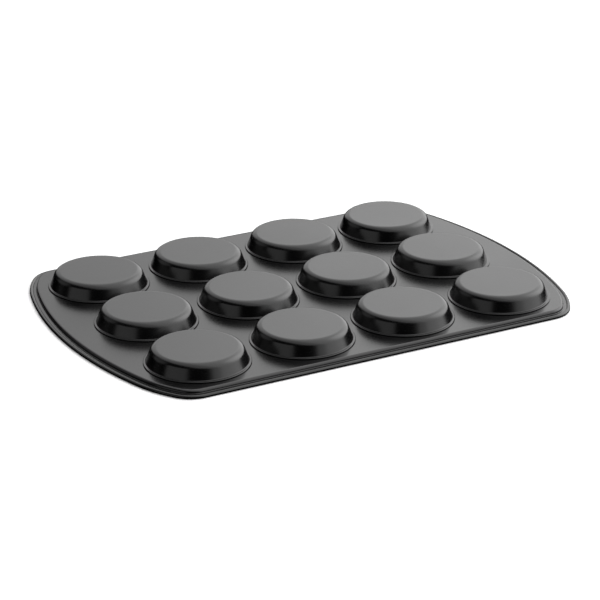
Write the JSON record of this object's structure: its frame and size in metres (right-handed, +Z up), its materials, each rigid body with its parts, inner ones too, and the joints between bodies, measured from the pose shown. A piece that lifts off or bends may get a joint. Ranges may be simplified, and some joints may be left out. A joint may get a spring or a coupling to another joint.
{
  "type": "muffin tin",
  "caption": "Shallow muffin tin: wide flat-bottomed round cups seamed into a flat deck with bowed ends and a wired, rolled rim; stands upside down on the rim.",
  "frame": {"origin": "centre of the tin on the surface that it stands on; the tin is stored upside down, on its rolled rim, with the floors of the cups facing up", "axes": "+X along the long side (the rows of cups), +Y across the short side, +Z up, from the mouths of the cups towards their floors"},
  "size_m": [0.404, 0.28, 0.0175],
  "materials": {
    "deck_coating": "black satin non-stick coating on steel sheet",
    "cup_coating": "black satin non-stick coating on drawn steel",
    "wire": "bright drawn wire"
  },
  "bodies": {
    "root": {"deck_sheet": "deck_coating", "rim_wire": "wire", "cup_row1_col1": "cup_coating", "cup_row1_col2": "cup_coating", "cup_row1_col3": "cup_coating", "cup_row1_col4": "cup_coating", "cup_row2_col1": "cup_coating", "cup_row2_col2": "cup_coating", "cup_row2_col3": "cup_coating", "cup_row2_col4": "cup_coating", "cup_row3_col1": "cup_coating", "cup_row3_col2": "cup_coating", "cup_row3_col3": "cup_coating", "cup_row3_col4": "cup_coating"}
  },
  "joints": []
}
